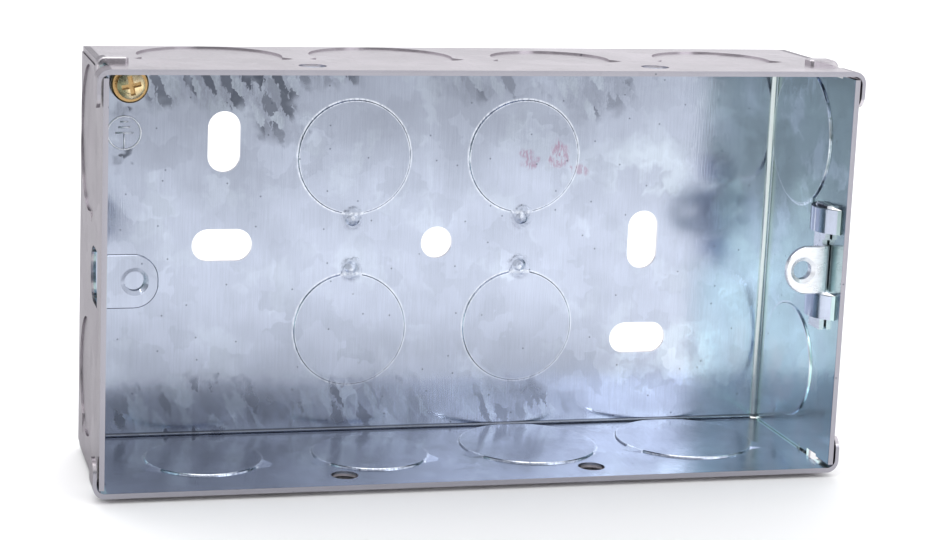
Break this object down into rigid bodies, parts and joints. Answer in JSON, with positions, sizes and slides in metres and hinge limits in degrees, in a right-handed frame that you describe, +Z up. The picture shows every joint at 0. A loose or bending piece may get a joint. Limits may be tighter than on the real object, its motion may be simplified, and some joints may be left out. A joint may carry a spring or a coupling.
{
  "type": "flush back box",
  "caption": "Rectangular folded steel back box, open in front, with knockouts, fixing slots, a fixed lug, a sliding lug and an earth screw.",
  "frame": {"origin": "axis of the centre hole, on the rear face of the back plate", "axes": "+X along the width, +Y from the open front to the back plate, +Z up"},
  "size_m": [0.1352, 0.035, 0.0748],
  "materials": {
    "galvanised_sheet": "galvanised, with a soft spangle",
    "plated_lug": "bright zinc plate",
    "brass": "plain bright brass"
  },
  "bodies": {
    "box": {"box_body": "galvanised_sheet", "earth_washer": "brass", "earth_screw": "brass"},
    "lug": {"adjustable_lug": "plated_lug"}
  },
  "joints": [
    {"name": "lug_slide", "type": "slide", "parent": "box", "child": "lug", "axis": [0, 0, 1], "range_m": [0, 0.0025]}
  ]
}
